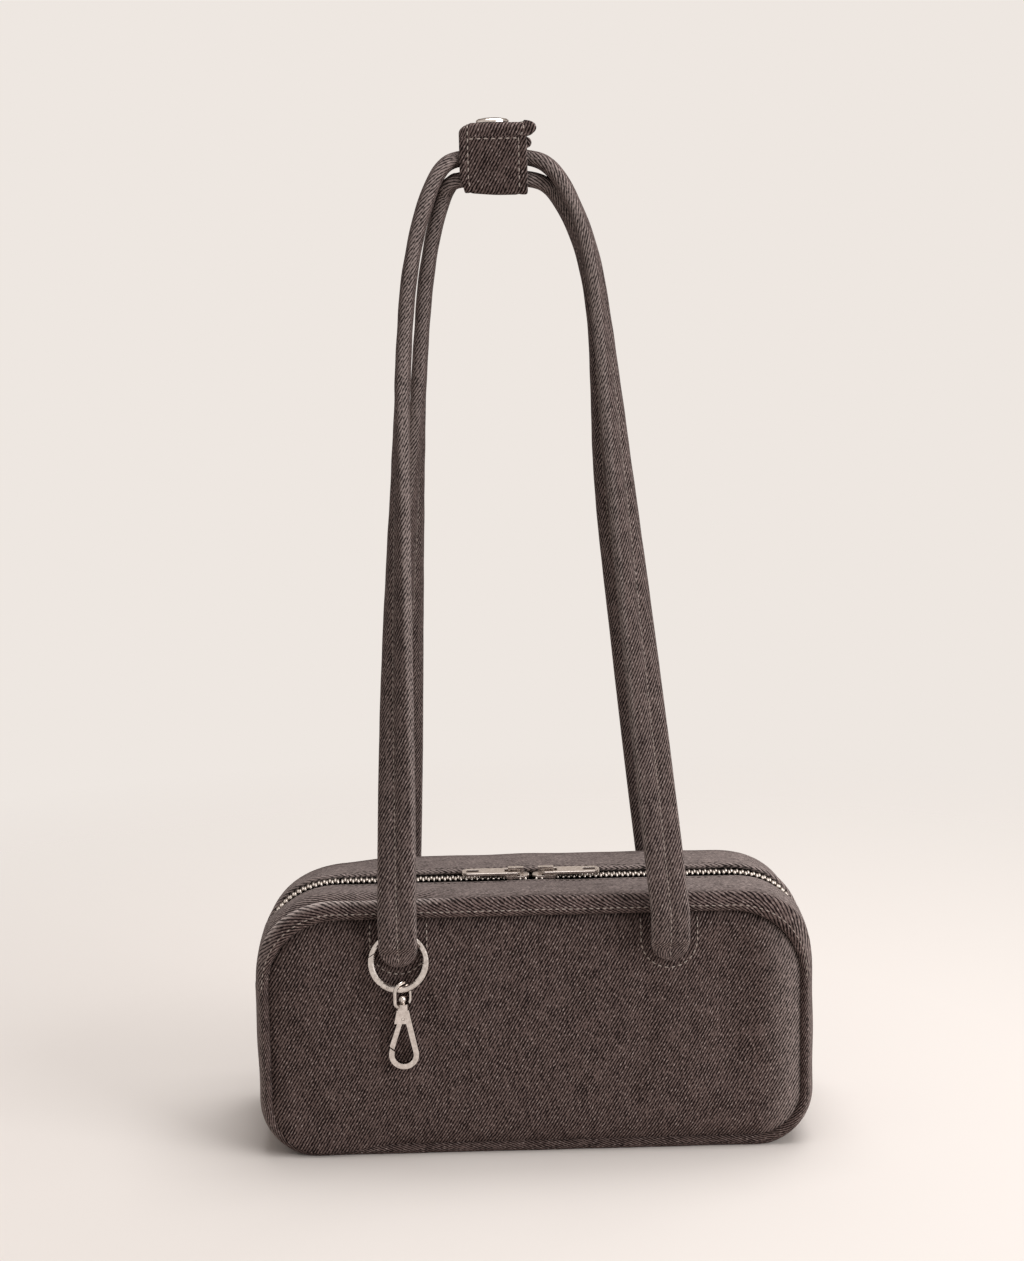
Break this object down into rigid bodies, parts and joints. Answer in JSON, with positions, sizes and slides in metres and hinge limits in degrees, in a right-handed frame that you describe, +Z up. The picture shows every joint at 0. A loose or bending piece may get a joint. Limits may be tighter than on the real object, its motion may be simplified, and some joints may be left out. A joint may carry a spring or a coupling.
{
  "type": "bowler bag",
  "caption": "Small denim bowler bag with a zip top, long twisted shoulder handles tied by a snap wrap, and a gate ring with a swivel hook.",
  "frame": {"origin": "centre of the flat base, on the floor", "axes": "+Z up, +X to the right as seen from the front, the front panel faces -Y"},
  "size_m": [0.2648, 0.1194, 0.4823],
  "materials": {
    "denim": "washed twill",
    "lining_cloth": "plain weave",
    "zip_tape": "woven tape",
    "zip_teeth": "polished",
    "satin_nickel": "satin",
    "board": "matte"
  },
  "bodies": {
    "bag": {"front_panel": "denim", "rear_panel": "denim", "bottom_gusset": "denim", "zip_gusset_left_end": "denim", "zip_gusset_right_end": "denim", "zip_tape_left_end": "zip_tape", "zip_tape_right_end": "zip_tape", "zip_chain_left_end": "zip_teeth", "zip_chain_right_end": "zip_teeth", "lining": "lining_cloth", "base_board": "board", "front_interlining": "lining_cloth", "rear_interlining": "lining_cloth", "front_seam_binding": "lining_cloth", "rear_seam_binding": "lining_cloth", "front_left_patch": "lining_cloth", "front_right_patch": "lining_cloth", "rear_left_patch": "lining_cloth", "rear_right_patch": "lining_cloth", "front_left_strap_end": "denim", "front_right_strap_end": "denim", "rear_left_strap_end": "denim", "rear_right_strap_end": "denim"},
    "front_flap": {"zip_gusset_front": "denim", "zip_tape_front": "zip_tape", "zip_chain_front": "zip_teeth"},
    "rear_flap": {"zip_gusset_rear": "denim", "zip_tape_rear": "zip_tape", "zip_chain_rear": "zip_teeth"},
    "left_zip_slider": {"left_slider": "satin_nickel"},
    "right_zip_slider": {"right_slider": "satin_nickel"},
    "left_pull": {"left_pull_tab": "satin_nickel"},
    "right_pull": {"right_pull_tab": "satin_nickel"},
    "handles": {"front_handle": "denim", "rear_handle": "denim", "wrap_band": "denim", "snap_stud": "satin_nickel", "snap_back": "satin_nickel"},
    "wrap_flap": {"wrap_flap": "denim", "snap_cap": "satin_nickel", "snap_socket": "satin_nickel"},
    "ring": {"gate_ring": "satin_nickel", "ring_gate_pin": "satin_nickel"},
    "ring_gate": {"ring_gate": "satin_nickel"},
    "eye": {"hook_eye": "satin_nickel"},
    "hook": {"snap_hook": "satin_nickel", "hook_gate_rivet": "satin_nickel"},
    "hook_gate": {"hook_gate": "satin_nickel"}
  },
  "joints": [
    {"name": "front_flap_open", "type": "hinge", "parent": "bag", "child": "front_flap", "pos_m": [0, -0.045, 0.1155], "axis": [1, 0, 0], "range_deg": [0, 50], "deforming": ["zip_tape_front", "zip_chain_front", "zip_tape_rear", "zip_chain_rear"]},
    {"name": "rear_flap_open", "type": "hinge", "parent": "bag", "child": "rear_flap", "pos_m": [0, 0.045, 0.1155], "axis": [-1, 0, 0], "range_deg": [0, 50]},
    {"name": "left_slider_slide", "type": "slide", "parent": "bag", "child": "left_zip_slider", "axis": [-1, 0, 0], "range_m": [0, 0.077]},
    {"name": "right_slider_slide", "type": "slide", "parent": "bag", "child": "right_zip_slider", "axis": [1, 0, 0], "range_m": [0, 0.077]},
    {"name": "left_pull_tilt", "type": "hinge", "parent": "left_zip_slider", "child": "left_pull", "pos_m": [-0.0059, 0, 0.12505], "axis": [0, 1, 0], "range_deg": [0, 100]},
    {"name": "right_pull_tilt", "type": "hinge", "parent": "right_zip_slider", "child": "right_pull", "pos_m": [0.0059, 0, 0.12505], "axis": [0, -1, 0], "range_deg": [0, 100]},
    {"name": "handle_swing", "type": "hinge", "parent": "bag", "child": "handles", "pos_m": [0, 0, 0.131], "axis": [1, 0, 0], "range_deg": [-20, 20], "deforming": ["front_left_strap_end", "front_right_strap_end", "rear_left_strap_end", "rear_right_strap_end"]},
    {"name": "wrap_flap_open", "type": "hinge", "parent": "handles", "child": "wrap_flap", "pos_m": [-0.0105, -0.012, 0.47365], "axis": [1, 0, 0], "range_deg": [0, 140]},
    {"name": "ring_swing", "type": "hinge", "parent": "bag", "child": "ring", "pos_m": [-0.0633, -0.04804, 0.1094], "axis": [-1, 0, 0], "range_deg": [0, 50]},
    {"name": "ring_gate_open", "type": "hinge", "parent": "ring", "child": "ring_gate", "pos_m": [-0.06847, -0.05309, 0.08563], "axis": [0, 0.9781, -0.2079], "range_deg": [0, 6], "stiffness_Nm_per_rad": 0.02},
    {"name": "eye_swing", "type": "hinge", "parent": "ring", "child": "eye", "pos_m": [-0.0618, -0.0533, 0.08464], "axis": [-1, 0, 0], "range_deg": [0, 60]},
    {"name": "hook_swivel", "type": "hinge", "parent": "eye", "child": "hook", "pos_m": [-0.0618, -0.0533, 0.07659], "axis": [0, 0, 1], "range_deg": [-20, 20]},
    {"name": "hook_gate_open", "type": "hinge", "parent": "hook", "child": "hook_gate", "pos_m": [-0.0618, -0.0533, 0.07059], "axis": [0, -1, 0], "range_deg": [0, 18], "stiffness_Nm_per_rad": 0.02}
  ],
  "couplings": [
    {"joint": "rear_flap_open", "follows": "front_flap_open", "ratio": 1},
    {"joint": "left_slider_slide", "follows": "front_flap_open", "m_per_rad": 0.0882},
    {"joint": "right_slider_slide", "follows": "front_flap_open", "m_per_rad": 0.0882}
  ]
}
